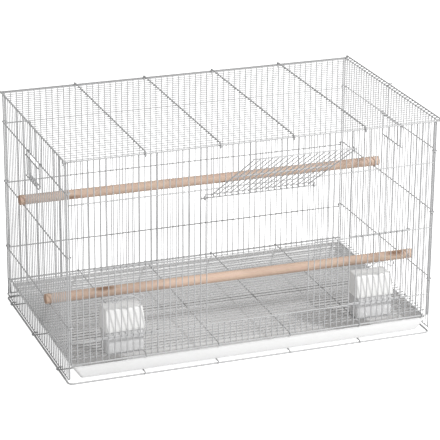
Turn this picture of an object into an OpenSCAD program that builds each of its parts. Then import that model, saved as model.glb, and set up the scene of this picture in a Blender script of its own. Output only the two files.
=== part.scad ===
// Bird flight cage: six welded wire grilles clipped together, a pull-out tray, doors, feeders and perches.
// Millimetres, Z up, cage standing on Z = 0, front grille towards -Y.
// The origin is the bottom centre of the box round the whole part with its front door swung up.

/* [Cage] */
// Width between the two side grilles
cage_w = 762; // [640:1:900]
// Depth between the front and back grilles
cage_d = 457.2; // [380:1:560]
// Height to the top wires
cage_h = 457.2; // [400:1:540]
// Spacing of the thin bars
wire_pitch = 12.7; // [11:0.1:15]

/* [Wire] */
// Thin bar diameter
bar_d = 2; // [1.6:0.1:2.4]
// Cross stay diameter
stay_d = 2.6; // [2.2:0.1:3]
// Diameter of the thick edge wires
edge_d = 3; // [2.6:0.1:3.4]
// How deep two welded wires sink into each other
weld = 0.3; // [0.2:0.05:0.4]

/* [Front door] */
// Bar gaps across the door opening
door_gaps = 17; // [13:1:21]
// How far the door is swung up from closed, degrees
door_open = 123; // [60:1:150]

/* [Feeders] */
// Bar gaps across each feeder opening
feeder_gaps = 10; // [8:1:12]
// Bowl width
bowl_w = 78; // [60:1:84]
// Bowl depth, front to back
bowl_d = 44; // [36:1:60]
// Bowl height
bowl_h = 50; // [36:1:56]
// Height of the hood above the bowl rim
hood_h = 40; // [30:1:56]
// Moulded wall thickness
cup_wall = 1.6; // [1.2:0.1:2.2]

/* [Perches] */
// Dowel diameter
perch_d = 20; // [12:0.5:21]
// How far a dowel end stands out past the side bars
perch_out = 11; // [6:0.5:11]

/* [Tray] */
// Sheet thickness of the tray
tray_t = 1.4; // [1:0.1:2]
// How far the side and back walls lean in from rim to floor
tray_lean = 15; // [6:0.5:18]
// Height of the upright rim band
tray_lip = 4; // [3:0.5:9]

/* [Hidden] */

bar_r = bar_d / 2;
stay_r = stay_d / 2;
edge_r = edge_d / 2;
// free play of a hook round its wire, and of a turning or sliding loop
hook_play = 0.1;
turn_play = 0.08;
slide_play = 0.35;
// how far a cut bar runs on past the middle of the wire it is welded to
bar_over = 0.6;
// bar plane to the centre line of a stay or an edge wire welded on its outer side
stay_off = bar_r + stay_r - weld;
edge_off = bar_r + edge_r - weld;

// front and back grilles: bars across the width, counted from the left
corner_gap = edge_d + 0.8;
half_front = cage_w / 2 - corner_gap;
nx = 2 * round(half_front / wire_pitch);
pitch_x = 2 * half_front / nx;
function bx(i) = -half_front + i * pitch_x;

// levels
top_z = cage_h - edge_r;
front_hi_z = cage_h * 0.8085;
front_mid_z = cage_h * 0.5072;
front_low_z = cage_h * 0.1912;
hinge_z = front_hi_z - 17.3;
side_hi_z = cage_h * 0.861;
side_mid_z = cage_h * 0.578;
side_low_z = cage_h * 0.262;
back_drop = stay_d + 2;
nest_z = cage_h * 0.7595;
foot_r = 2;
runner_z = 2 * foot_r + stay_r + hook_play;
cross_z = runner_z + stay_d - 0.03;
side_foot_z = cross_z + stay_d + hook_play;
hairpin_r = (stay_d * 2 + 2 * hook_play) / 2;
grate_z = cage_h * 0.0905;
grate_stay_z = grate_z + edge_r + stay_r + hook_play;
grate_bar_z = grate_stay_z + stay_r + bar_r - weld;
top_bar_z = top_z + edge_r + hook_play + bar_r;
top_rod_z = top_bar_z + bar_r + edge_r - weld;

// front door
door_i0 = floor((nx - door_gaps) / 2) + 1;
door_i1 = door_i0 + door_gaps;
hinge_off = edge_off;
hinge_r = edge_r;
curl_r = hinge_r + stay_r + turn_play;
leaf_len = hinge_z - front_low_z + 1.5;
leaf_x0 = bx(door_i0 + 0.5);
leaf_x1 = bx(door_i1 - 0.5);
leaf_gaps = door_gaps - 1;
leaf_top = 7;

catch_r = 1.2;
catch_bend = 2.2;
catch_arm = 9.8;
catch_x = leaf_x1 - stay_r - catch_r - 0.4;
catch_y = -curl_r - stay_off - stay_r - catch_r + 0.03;
catch_z = -leaf_len - stay_r - catch_r + 0.03;

// the tip of the catch and the back hooks of the top set the middle, front to back, where the origin lies
catch_tip_y = catch_y + catch_bend + catch_arm;
reach_front = cage_d / 2 + hinge_off + (catch_r - catch_z) * sin(door_open) - catch_tip_y * cos(door_open);
reach_back = cage_d / 2 + edge_off + top_rod_z - top_z + edge_r;
y_shift = (reach_front - reach_back) / 2;
y_front = y_shift - cage_d / 2;
y_back = y_shift + cage_d / 2;
hinge_y = y_front - hinge_off;

// side grilles: bars across the depth, counted from the front
ny = 2 * round(cage_d / 2 / wire_pitch);
pitch_y = cage_d / ny;
function by(j) = y_front + j * pitch_y;
nest_j0 = round(ny * 0.389);
nest_j1 = nest_j0 + 6;
side_x = cage_w / 2;
side_stay_x = side_x + stay_off;
side_edge_x = side_x + edge_off;
top_rod_x = half_front - 0.7;
top_end_x = side_edge_x + edge_r + stay_r + 0.9;
// the end bars stand this far in, clear of the top wires of the front and back grilles
post_in = edge_d - edge_off + 0.15;
nest_curl_r = stay_r + stay_r + turn_play;
nest_len = side_hi_z - nest_z + stay_r + 2;
side_hook_r = (side_stay_x - (half_front - edge_r) + hook_play + stay_r) / 2;

// feeder doors
feeder_i0 = 4;
feeder_i1 = feeder_i0 + feeder_gaps;
feeder_bar_y = y_front - stay_off - stay_r - slide_play - bar_r;
feeder_rail_r = 1.2;
feeder_rail_y = feeder_bar_y + bar_r + feeder_rail_r - weld;
feeder_loop_r = y_front - feeder_rail_y;
feeder_low_z = front_low_z + stay_r + feeder_rail_r + 0.05;
feeder_high_z = front_mid_z + stay_r + feeder_rail_r + 0.05;
feeder_x = (bx(feeder_i0) + bx(feeder_i1)) / 2;
handle_r = 1.2;
handle_z = (feeder_low_z + feeder_high_z) / 2;
handle_y = feeder_bar_y - bar_r - handle_r + 0.03;

// feeders
bowl_y = y_front + 10;
bowl_z = grate_bar_z + bar_r + 0.05;
rim_z = bowl_z + bowl_h;
hood_play = 0.15;
hood_skirt = 4;
hood_w = bowl_w + 2 * (hood_play + cup_wall);
hood_top_w = hood_w - 5;
hood_d = bowl_d + hood_play + cup_wall;
hood_lean = 9;

// tray
tray_top_z = grate_z - edge_r - 4;
tray_z = cross_z + stay_r + 0.15;
tray_half_w = side_x - 8;
tray_y0 = y_front - 1;
tray_y1 = y_back - 8;
tray_front_lean = 2;

// perches
perch_r = perch_d / 2;
perch_slot = bar_d + 0.6;
lower_perch_j = round(ny * 0.278);
upper_perch_j = round(ny * 0.667);

// a round wire along X, Y or Z
module wire_x(x0, x1, y, z, d) {
  translate([x0, y, z]) rotate([0, 90, 0]) cylinder(d = d, h = x1 - x0, $fn = 32);
}
module wire_y(x, y0, y1, z, d) {
  translate([x, y0, z]) rotate([-90, 0, 0]) cylinder(d = d, h = y1 - y0, $fn = 32);
}
module wire_z(x, y, z0, z1, d) {
  translate([x, y, z0]) cylinder(d = d, h = z1 - z0, $fn = 32);
}
// a thin bar, drawn with eight flats so that its many welds stay simple
module bar_z(x, y, z0, z1, d) {
  translate([x, y, z0]) rotate([0, 0, 22.5]) cylinder(d = d / cos(22.5), h = z1 - z0, $fn = 8);
}
module bar_x(x0, x1, y, z, d) {
  translate([x0, y, z]) rotate([0, 90, 0]) rotate([0, 0, 22.5])
    cylinder(d = d / cos(22.5), h = x1 - x0, $fn = 8);
}
// a bend of wire about Z, from angle a0 over sweep a
module bend(r, d, a0, a) {
  rotate([0, 0, a0]) rotate_extrude(angle = a, $fn = 48) translate([r, 0]) circle(d = d, $fn = 32);
}
// where a wire runs on into a bend, a hair thicker than the wire
module knuckle(x, y, z, d) {
  translate([x, y, z]) sphere(d = d + 0.06, $fn = 32);
}
// a bend in the plane Y-Z, angles from +Y towards +Z
module bend_yz(x, y, z, r, d, a0, a) {
  translate([x, y, z]) rotate([90, 0, 90]) bend(r, d, a0, a);
}
// a bend in the plane X-Z, angles from +X towards +Z
module bend_xz(x, y, z, r, d, a0, a) {
  translate([x, y, z]) rotate([90, 0, 0]) bend(r, d, a0, a);
}

// one bar of the front grille, left out where the openings are
module front_bar(i) {
  door = i > door_i0 && i < door_i1;
  feeder = (i > feeder_i0 && i < feeder_i1) || (i > nx - feeder_i1 && i < nx - feeder_i0);
  guide = i == feeder_i0 || i == feeder_i1 || i == nx - feeder_i0 || i == nx - feeder_i1;
  d = guide ? stay_d : bar_d;
  if (door || feeder) {
    bar_z(bx(i), y_front, grate_z, front_low_z + bar_over, d);
    bar_z(bx(i), y_front, (door ? hinge_z : front_mid_z) - bar_over, top_z, d);
  } else {
    bar_z(bx(i), y_front, grate_z, top_z, d);
  }
}

module front_grille() {
  color("white") union() {
    for (i = [1 : nx - 1]) front_bar(i);
    for (i = [0, nx]) wire_z(bx(i), y_front, grate_z, top_z, edge_d);
    wire_x(-top_end_x - edge_r, top_end_x + edge_r, y_front - edge_off, top_z, edge_d);
    wire_x(bx(0), bx(nx), y_front - edge_off, grate_z, edge_d);
    bar_x(bx(0), bx(nx), y_front - stay_off, front_hi_z, stay_d);
    bar_x(bx(0), bx(nx), y_front - stay_off, front_low_z, stay_d);
    bar_x(bx(0), bx(door_i0 - 1), y_front - stay_off, front_mid_z, stay_d);
    bar_x(bx(door_i1 + 1), bx(nx), y_front - stay_off, front_mid_z, stay_d);
    wire_x(bx(door_i0 - 1), bx(door_i1 + 1), hinge_y, hinge_z, 2 * hinge_r);
  }
}

module back_grille() {
  color("white") union() {
    for (i = [1 : nx - 1]) bar_z(bx(i), y_back, side_foot_z, top_z, bar_d);
    for (i = [0, nx]) wire_z(bx(i), y_back, side_foot_z, top_z, edge_d);
    wire_x(-top_end_x - edge_r, top_end_x + edge_r, y_back + edge_off, top_z, edge_d);
    wire_x(bx(0), bx(nx), y_back + edge_off, grate_z, edge_d);
    for (z = [side_hi_z - back_drop, side_mid_z - back_drop, side_low_z - back_drop, side_foot_z])
      wire_x(bx(0), bx(nx), y_back + stay_off, z, stay_d);
  }
}

// a side stay whose two ends curl round the end bars of the front and back grilles
module side_stay(z) {
  hx = side_stay_x - side_hook_r;
  wire_y(side_stay_x, y_front, y_back, z, stay_d);
  translate([hx, y_front, z]) bend(side_hook_r, stay_d, 0, -240);
  translate([hx, y_back, z]) bend(side_hook_r, stay_d, 0, 240);
}

// the hook of a side grille that goes up past the end rod of the top grille and over it
module top_hook() {
  y = by(ny / 2) + pitch_y / 2;
  wire_z(side_edge_x, y, side_hi_z, top_rod_z, stay_d);
  bend_xz(top_end_x, y, top_rod_z, top_end_x - side_edge_x, stay_d, 180, -165);
  knuckle(side_edge_x, y, top_rod_z, stay_d);
}

module right_grille() {
  color("white") union() {
    for (j = [1 : ny - 1]) {
      if (j > nest_j0 && j < nest_j1) {
        bar_z(side_x, by(j), side_foot_z, nest_z + bar_over, bar_d);
        bar_z(side_x, by(j), side_hi_z - bar_over, top_z, bar_d);
      } else {
        bar_z(side_x, by(j), side_foot_z, top_z, bar_d);
      }
    }
    for (y = [y_front + post_in, y_back - post_in]) wire_z(side_x, y, side_foot_z, top_z, edge_d);
    for (z = [side_low_z, side_mid_z, side_hi_z]) side_stay(z);
    wire_y(side_edge_x, y_front, y_back, top_z, edge_d);
    wire_y(side_stay_x, y_front, y_back, side_foot_z, stay_d);
    wire_y(side_stay_x, by(nest_j0), by(nest_j1), nest_z, stay_d);
    top_hook();
  }
}

// the left grille is the right one turned over
module left_grille() {
  mirror([1, 0, 0]) right_grille();
}

// a front-to-back wire whose ends hook down over the edge wires of the front and back grilles
module hooked_wire(x, z, wrap_z, d, sweep) {
  r = z - wrap_z;
  wire_y(x, y_front - edge_off, y_back + edge_off, z, d);
  bend_yz(x, y_front - edge_off, wrap_z, r, d, 90, sweep);
  bend_yz(x, y_back + edge_off, wrap_z, r, d, 90, -sweep);
}

module top_grille() {
  color("white") union() {
    for (j = [0 : ny]) bar_x(-top_end_x - edge_r, top_end_x + edge_r, by(j), top_bar_z, bar_d);
    for (k = [1 : 4]) hooked_wire(top_rod_x * (2 * k / 5 - 1), top_rod_z, top_z, edge_d, 160);
    for (x = [-top_end_x, top_end_x]) hooked_wire(x, top_rod_z, top_z, edge_d, 160);
  }
}

module floor_grille() {
  half = side_x - bar_r - 1.5;
  color("white") union() {
    for (j = [1 : ny - 1]) bar_x(-half, half, by(j), grate_bar_z, bar_d);
    for (k = [0 : 5])
      hooked_wire(bx(min(nx - 1, round(k * nx / 5)) + 0.5), grate_stay_z, grate_z, stay_d, 160);
  }
}

// the eight-sided wire of the base frame, with a flat underside to stand on
module foot_section() {
  rotate([0, 0, 22.5]) circle(r = foot_r / cos(22.5), $fn = 8);
}

module foot_corner(x, y, r, a) {
  translate([x, y, foot_r]) rotate([0, 0, a])
    rotate_extrude(angle = 90, $fn = 48) translate([r, 0]) foot_section();
}

module base_frame() {
  x1 = side_stay_x;
  y0 = y_front - edge_off;
  y1 = y_back + edge_off;
  r = 9;
  color("white") union() {
    for (y = [y0, y1])
      translate([-x1 + r, y, foot_r]) rotate([90, 0, 90]) linear_extrude(2 * x1 - 2 * r) foot_section();
    for (x = [-x1, x1])
      translate([x, y1 - r, foot_r]) rotate([90, 0, 0]) linear_extrude(y1 - y0 - 2 * r) foot_section();
    foot_corner(-x1 + r, y0 + r, r, 180);
    foot_corner(x1 - r, y0 + r, r, 270);
    foot_corner(x1 - r, y1 - r, r, 0);
    foot_corner(-x1 + r, y1 - r, r, 90);
  }
}

module base_runners() {
  color("white") for (k = [1 : 4]) hooked_wire(-side_x + k * cage_w / 5, runner_z, foot_r, stay_d, 95);
}

// a left-to-right rod with a hairpin at each end round the foot stay of a side grille
module cross_rod(y) {
  x1 = side_stay_x + stay_r + 4;
  x0 = side_x - 3;
  wire_x(-x1, x1, y, cross_z, stay_d);
  for (s = [0, 1]) mirror([s, 0, 0]) {
    bend_xz(x1, y, cross_z + hairpin_r, hairpin_r, stay_d, -90, 180);
    wire_x(x0, x1, y, cross_z + 2 * hairpin_r, stay_d);
  }
}

module base_cross_rods() {
  color("white") for (k = [0.125, 0.5, 0.875]) cross_rod(by(floor(k * ny) + 0.5));
}

// the outline of a tray cut across, inset by t, from its floor to z1, with a lean at each end
function tray_cut(a0, a1, lean0, lean1, t, z1) = [
  [a0 + lean0 + t, tray_z + t],
  [a0 + t, tray_top_z - tray_lip],
  [a0 + t, z1],
  [a1 - t, z1],
  [a1 - t, tray_top_z - tray_lip],
  [a1 - lean1 - t, tray_z + t]
];

module tray_block(t, z1) {
  intersection() {
    translate([0, tray_y1, 0]) rotate([90, 0, 0]) linear_extrude(tray_y1 - tray_y0)
      polygon(tray_cut(-tray_half_w, tray_half_w, tray_lean, tray_lean, t, z1));
    translate([-tray_half_w, 0, 0]) rotate([90, 0, 90]) linear_extrude(2 * tray_half_w)
      polygon(tray_cut(tray_y0, tray_y1, tray_front_lean, tray_lean, t, z1));
  }
}

module tray() {
  color("whitesmoke") union() {
    difference() {
      tray_block(0, tray_top_z);
      tray_block(tray_t, tray_top_z + 5);
    }
    difference() {
      translate([-tray_half_w - 2.5, tray_y0 - 1, tray_top_z - tray_t])
        cube([2 * tray_half_w + 5, tray_y1 - tray_y0 + 3.5, tray_t]);
      translate([-tray_half_w + tray_t, tray_y0 + tray_t, tray_top_z - 10])
        cube([2 * (tray_half_w - tray_t), tray_y1 - tray_y0 - 2 * tray_t, 20]);
    }
  }
}

// the leaf of the front door, drawn hanging closed; its top rail runs on to a curl at each end
module leaf_closed() {
  curl_x = [leaf_x0 - pitch_x, leaf_x1 + pitch_x];
  translate([0, -curl_r, 0]) {
    for (i = [1 : leaf_gaps - 1]) bar_z(leaf_x0 + i * pitch_x, 0, -leaf_len, -leaf_top, bar_d);
    for (x = [leaf_x0, leaf_x1]) wire_z(x, 0, -leaf_len, 2 - leaf_top, stay_d);
    for (x = curl_x) wire_z(x, 0, -leaf_top - 2, 0, stay_d);
    wire_x(curl_x[0], curl_x[1], -stay_off, -leaf_top, stay_d);
    for (z = [-leaf_len * 0.52, -leaf_len]) wire_x(leaf_x0, leaf_x1, -stay_off, z, stay_d);
  }
  for (x = curl_x) bend_yz(x, 0, 0, curl_r, stay_d, 180, -280);
}

module front_door() {
  color("white") translate([0, hinge_y, hinge_z]) rotate([-door_open, 0, 0]) union() leaf_closed();
}

// the spring hook at the free edge that snaps under the lower stay of the front grille
module front_door_catch() {
  color("white") translate([0, hinge_y, hinge_z]) rotate([-door_open, 0, 0]) union() {
    wire_z(catch_x, catch_y, catch_z + catch_bend, catch_z + 34, 2 * catch_r);
    bend_yz(catch_x, catch_y + catch_bend, catch_z + catch_bend, catch_bend, 2 * catch_r, 180, 90);
    wire_y(catch_x, catch_y + catch_bend, catch_tip_y, catch_z, 2 * catch_r);
  }
}

// a feeder door, closed, riding on the two thick guide bars of its opening
module left_feeder_door() {
  x0 = bx(feeder_i0);
  x1 = bx(feeder_i1);
  z0 = feeder_low_z - feeder_rail_r;
  z1 = feeder_high_z + feeder_rail_r;
  color("white") union() {
    for (i = [feeder_i0 + 1 : feeder_i1 - 1]) bar_z(bx(i), feeder_bar_y, z0, z1, bar_d);
    for (z = [feeder_low_z, feeder_high_z]) {
      wire_x(x0, x1, feeder_rail_y, z, 2 * feeder_rail_r);
      knuckle(x0, feeder_rail_y, z, 2 * feeder_rail_r);
      knuckle(x1, feeder_rail_y, z, 2 * feeder_rail_r);
      translate([x0, y_front, z]) bend(feeder_loop_r, 2 * feeder_rail_r, 270, -220);
      translate([x1, y_front, z]) bend(feeder_loop_r, 2 * feeder_rail_r, 270, 220);
    }
  }
}

module right_feeder_door() {
  mirror([1, 0, 0]) left_feeder_door();
}

// the bent finger wire on a feeder door: an arch with a curl at each end
module left_feeder_handle() {
  c = 26;
  curl = 5.5;
  rise = 11.4;
  arch = (c * c + (rise - curl) * (rise - curl) - curl * curl) / (2 * rise);
  a = atan2(curl - rise + arch, c);
  color("white") translate([feeder_x, handle_y, handle_z]) union() {
    bend_xz(0, 0, rise - arch, arch, 2 * handle_r, a, 180 - 2 * a);
    for (s = [0, 1]) mirror([s, 0, 0]) {
      knuckle(arch * cos(a), 0, rise - arch + arch * sin(a), 2 * handle_r);
      bend_xz(c, 0, curl, curl, 2 * handle_r, 180 + a, 262);
    }
  }
}

module right_feeder_handle() {
  mirror([1, 0, 0]) left_feeder_handle();
}

// a block with rounded upright corners
module round_block(w, d, h, r) {
  linear_extrude(h) union() {
    translate([-w / 2 + r, 0]) square([w - 2 * r, d]);
    translate([-w / 2, r]) square([w, d - 2 * r]);
    for (x = [-w / 2 + r, w / 2 - r]) for (y = [r, d - r]) translate([x, y]) circle(r = r, $fn = 48);
  }
}

module left_bowl() {
  color("gainsboro") translate([feeder_x, bowl_y, bowl_z]) difference() {
    round_block(bowl_w, bowl_d, bowl_h, 6);
    translate([0, cup_wall, cup_wall])
      round_block(bowl_w - 2 * cup_wall, bowl_d - 2 * cup_wall, bowl_h, 6 - cup_wall);
  }
}

module right_bowl() {
  mirror([1, 0, 0]) left_bowl();
}

// the hood as a leaning box, grown or shrunk by t
module hood_block(t, back, drop) {
  z0 = rim_z - hood_skirt - drop;
  z1 = rim_z + hood_h - t;
  zs = rim_z + 1;
  y0 = bowl_y - hood_play - cup_wall + t;
  y1 = bowl_y + bowl_d + back;
  w0 = hood_w / 2 - t;
  w1 = hood_top_w / 2 - t;
  intersection() {
    translate([0, y1, 0]) rotate([90, 0, 0]) linear_extrude(y1 - y0)
      polygon([[-w0, z0], [w0, z0], [w0, zs], [w1, z1], [-w1, z1], [-w0, zs]]);
    translate([-w0, 0, 0]) rotate([90, 0, 90]) linear_extrude(2 * w0)
      polygon([[y0, z0], [y1, z0], [y1, z1], [y0 + hood_lean, z1], [y0, zs]]);
  }
}

module left_hood() {
  color("white") translate([feeder_x, 0, 0]) difference() {
    hood_block(0, 0, 0);
    hood_block(cup_wall, 5, 5);
  }
}

module right_hood() {
  mirror([1, 0, 0]) left_hood();
}

// a nest door flap hanging from the upper side stay, on the outside of a side grille
module right_nest_door() {
  x = side_stay_x + nest_curl_r;
  y0 = by(nest_j0 - 0.5);
  y1 = by(nest_j1 + 0.5);
  color("white") union() {
    for (j = [nest_j0 + 1 : nest_j1 - 1]) bar_z(x, by(j), side_hi_z - nest_len, side_hi_z - 7, bar_d);
    for (y = [y0, y1]) {
      wire_z(x, y, side_hi_z - nest_len, side_hi_z, stay_d);
      knuckle(x, y, side_hi_z, stay_d);
      bend_xz(side_stay_x, y, side_hi_z, nest_curl_r, stay_d, 0, 280);
    }
    for (z = [side_hi_z - 7, side_hi_z - nest_len]) wire_y(x + stay_off, y0, y1, z, stay_d);
  }
}

module left_nest_door() {
  mirror([1, 0, 0]) right_nest_door();
}

// a dowel with an upright saw cut in each end that straddles one side bar and rests on a side stay;
// its right end sits one bar further to the front than its left end
module perch(j, stay_z) {
  z = stay_z + stay_r + perch_r + 0.05;
  cut = perch_out + bar_r + 0.6;
  color("burlywood") difference() {
    translate([0, by(j - 0.5), z]) rotate([0, 0, -atan2(pitch_y, cage_w)])
      wire_x(-side_x - perch_out, side_x + perch_out, 0, 0, perch_d);
    for (s = [0, 1]) mirror([s, 0, 0])
      translate([side_x - bar_r - 0.6, by(j - 1 + s) - perch_slot / 2, z - perch_r - 1])
        cube([cut + 1, perch_slot, perch_d + 2]);
  }
}

module upper_perch() {
  perch(upper_perch_j, side_mid_z);
}

module lower_perch() {
  perch(lower_perch_j, side_low_z);
}

front_grille();
back_grille();
left_grille();
right_grille();
top_grille();
floor_grille();
base_frame();
base_runners();
base_cross_rods();
tray();
front_door();
front_door_catch();
left_feeder_door();
right_feeder_door();
left_feeder_handle();
right_feeder_handle();
left_bowl();
right_bowl();
left_hood();
right_hood();
left_nest_door();
right_nest_door();
upper_perch();
lower_perch();
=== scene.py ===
import math
import bpy
import bmesh
from mathutils import Matrix, Vector, noise


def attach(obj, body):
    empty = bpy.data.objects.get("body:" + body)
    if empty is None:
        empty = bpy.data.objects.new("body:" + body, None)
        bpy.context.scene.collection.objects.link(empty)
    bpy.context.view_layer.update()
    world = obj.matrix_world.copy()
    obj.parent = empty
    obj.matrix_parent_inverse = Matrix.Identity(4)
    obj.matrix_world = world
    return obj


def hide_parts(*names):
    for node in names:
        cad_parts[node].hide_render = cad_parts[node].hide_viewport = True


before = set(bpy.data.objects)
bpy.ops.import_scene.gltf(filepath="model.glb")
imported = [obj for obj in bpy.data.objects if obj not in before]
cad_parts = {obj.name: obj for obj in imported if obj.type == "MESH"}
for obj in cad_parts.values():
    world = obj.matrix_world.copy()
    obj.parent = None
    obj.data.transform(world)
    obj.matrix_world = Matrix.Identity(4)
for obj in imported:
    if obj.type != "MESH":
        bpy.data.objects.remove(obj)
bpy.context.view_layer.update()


# ---------------------------------------------------------------- Front grille
# Upright 2 mm steel wires spot-welded behind thicker cross stays, with the door
# opening in the middle and a feeder opening to each side. The finished panel is
# dipped in white powder coat, which fills the corners of every weld.

bar_r, stay_r, edge_r = 0.001, 0.0013, 0.0015
bar_gap = 0.0125733
across = (bar_gap, 0, 0)
post_x = 0.3772
front_y = -0.1172214
back_y = 0.3399786
grate_z, top_z = 0.0413766, 0.4557
stay_out, edge_out = 0.002, 0.0022
front_stays = (0.369646, 0.231892, 0.087417)
hinge_y, hinge_z = -0.1194214, 0.352346
roof_end = 0.3869
# A cut end runs on past the wire it is welded to, and a weld's lump sits off the bars.
past, lump_out = 0.0006, 0.0009
edge_lump, stay_lump = (0.0015, 0.001, 0.0012), (0.0015, 0.001, 0.0013)
# How far a wire of each kind may wander from straight.
post_sway, guide_sway = (0.0003, 0, 0), (0.0004, 0, 0)
edge_sway, stay_sway = (0, 0, 0.0005), (0, 0, 0.0008)


def bar_x(i):
    return -post_x + i * bar_gap


def tree_with(name, sockets):
    """A geometry node tree with named inputs, and a dictionary of their identifiers."""
    tree = bpy.data.node_groups.new(name, "GeometryNodeTree")
    for way in ("INPUT", "OUTPUT"):
        tree.interface.new_socket("Geometry", in_out=way, socket_type="NodeSocketGeometry")
    names = {}
    for label, kind in sockets:
        made = tree.interface.new_socket(label, in_out="INPUT", socket_type="NodeSocket" + kind)
        names[label] = made.identifier
    return tree, names


def plant(tree, kind, values=(), **settings):
    node = tree.nodes.new(kind)
    for key, value in settings.items():
        setattr(node, key, value)
    for key, value in dict(values).items():
        node.inputs[key].default_value = value
    return node


def join(tree, *links):
    """Links nodes in a tree, each link given as node, output, node, input."""
    for giver, output, taker, entry in links:
        tree.links.new(giver.outputs[output], taker.inputs[entry])


def close_tree(tree, geometry, finish):
    """Ends a tree in Realize Instances, smooth shading and Set Material."""
    real = plant(tree, "GeometryNodeRealizeInstances")
    smooth = plant(tree, "GeometryNodeSetShadeSmooth")
    coat = plant(tree, "GeometryNodeSetMaterial")
    out = plant(tree, "NodeGroupOutput")
    tree.links.new(geometry, real.inputs[0])
    tree.links.new(real.outputs[0], smooth.inputs[0])
    tree.links.new(smooth.outputs[0], coat.inputs[0])
    tree.links.new(finish, coat.inputs["Material"])
    tree.links.new(coat.outputs[0], out.inputs[0])


def tree_of_bars():
    """A row of straight wires, each a little out of true sideways, as drawn wire is."""
    tree, names = tree_with("Row of bars", (
        ("Count", "Int"), ("First", "Vector"), ("Step", "Vector"), ("Rise", "Vector"),
        ("Radius", "Float"), ("Sway", "Vector"), ("Seed", "Float"), ("Finish", "Material")))
    given = plant(tree, "NodeGroupInput")
    row = plant(tree, "GeometryNodeMeshLine", mode="OFFSET")
    line = plant(tree, "GeometryNodeCurvePrimitiveLine")
    lay = plant(tree, "GeometryNodeInstanceOnPoints")
    real = plant(tree, "GeometryNodeRealizeInstances")
    steps = plant(tree, "GeometryNodeResampleCurve", {"Count": 12})
    which = plant(tree, "GeometryNodeCurveOfPoint")
    apart = plant(tree, "ShaderNodeMath", {1: 7.31}, operation="MULTIPLY")
    seeded = plant(tree, "ShaderNodeMath", operation="ADD")
    drift = plant(tree, "ShaderNodeTexNoise", {"Scale": 6.0, "Detail": 1.0}, noise_dimensions="4D")
    centred = plant(tree, "ShaderNodeVectorMath", {1: (0.5, 0.5, 0.5)}, operation="SUBTRACT")
    swayed = plant(tree, "ShaderNodeVectorMath", operation="MULTIPLY")
    move = plant(tree, "GeometryNodeSetPosition")
    ring = plant(tree, "GeometryNodeCurvePrimitiveCircle", {"Resolution": 10})
    skin = plant(tree, "GeometryNodeCurveToMesh", {"Fill Caps": True})
    join(tree,
         (given, "Count", row, "Count"), (given, "First", row, "Start Location"),
         (given, "Step", row, "Offset"), (given, "Rise", line, "End"), (row, 0, lay, "Points"),
         (line, 0, lay, "Instance"), (lay, 0, real, 0), (real, 0, steps, "Curve"),
         (which, "Curve Index", apart, 0), (apart, 0, seeded, 0), (given, "Seed", seeded, 1),
         (seeded, 0, drift, "W"), (drift, "Color", centred, 0), (centred, 0, swayed, 0),
         (given, "Sway", swayed, 1), (steps, 0, move, "Geometry"), (swayed, 0, move, "Offset"),
         (given, "Radius", ring, "Radius"), (move, 0, skin, "Curve"),
         (ring, 0, skin, "Profile Curve"))
    close_tree(tree, skin.outputs[0], given.outputs["Finish"])
    return tree, names


def tree_of_welds():
    """A row of the small lumps of coat and upset metal where two wires are welded."""
    tree, names = tree_with("Row of welds", (
        ("Count", "Int"), ("First", "Vector"), ("Step", "Vector"), ("Size", "Vector"),
        ("Finish", "Material")))
    given = plant(tree, "NodeGroupInput")
    row = plant(tree, "GeometryNodeMeshLine", mode="OFFSET")
    lump = plant(tree, "GeometryNodeMeshIcoSphere", {"Radius": 1.0, "Subdivisions": 1})
    lay = plant(tree, "GeometryNodeInstanceOnPoints")
    join(tree,
         (given, "Count", row, "Count"), (given, "First", row, "Start Location"),
         (given, "Step", row, "Offset"), (row, 0, lay, "Points"), (lump, 0, lay, "Instance"),
         (given, "Size", lay, "Scale"))
    close_tree(tree, lay.outputs[0], given.outputs["Finish"])
    return tree, names


bar_tree, bar_inputs = tree_of_bars()
weld_tree, weld_inputs = tree_of_welds()


def grow(bm, tree, inputs, values):
    """Runs a geometry node tree once and adds its plain mesh to bm."""
    blank = bpy.data.objects.new("blank", bpy.data.meshes.new("blank"))
    bpy.context.scene.collection.objects.link(blank)
    modifier = blank.modifiers.new("Grow", "NODES")
    modifier.node_group = tree
    for key, value in values.items():
        modifier[inputs[key]] = value
    seen = blank.evaluated_get(bpy.context.evaluated_depsgraph_get())
    mesh = bpy.data.meshes.new_from_object(seen)
    blank.modifiers.remove(modifier)
    bm.from_mesh(mesh)
    bpy.data.objects.remove(blank)
    bpy.data.meshes.remove(mesh)


def bars(bm, count, first, step, rise, sway=(0.0009, 0, 0), seed=0.0):
    grow(bm, bar_tree, bar_inputs, {
        "Count": count, "First": tuple(first), "Step": tuple(step), "Rise": tuple(rise),
        "Radius": bar_r, "Sway": tuple(sway), "Seed": seed, "Finish": white_coat})


def welds(bm, count, first, step, size):
    grow(bm, weld_tree, weld_inputs, {
        "Count": count, "First": tuple(first), "Step": tuple(step), "Size": tuple(size),
        "Finish": white_coat})


def arc(centre, radius, start, sweep, plane, steps=12):
    """Points on a bend in plane xy, yz or xz, its angles from the first axis to the second."""
    one, two = ("xyz".index(axis) for axis in plane)
    points = []
    for k in range(steps + 1):
        angle = math.radians(start + sweep * k / steps)
        point = Vector(centre)
        point[one] += radius * math.cos(angle)
        point[two] += radius * math.sin(angle)
        points.append(point)
    return points


def run(a, b, sway=(0, 0, 0)):
    """Points along a straight wire, held true at both ends and a little wavy between."""
    a, b = Vector(a), Vector(b)
    point_gap, waves_a_metre, waves_from = 0.035, 9.0, Vector((3.1, 7.7, 1.3))
    count = max(2, round((b - a).length / point_gap))
    points = []
    for k in range(count + 1):
        point = a.lerp(b, k / count)
        held = math.sin(math.pi * k / count) ** 0.5 if 0 < k < count else 0.0
        wave = noise.noise(point * waves_a_metre + waves_from)
        points.append(point + Vector(sway) * wave * held)
    return points


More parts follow.
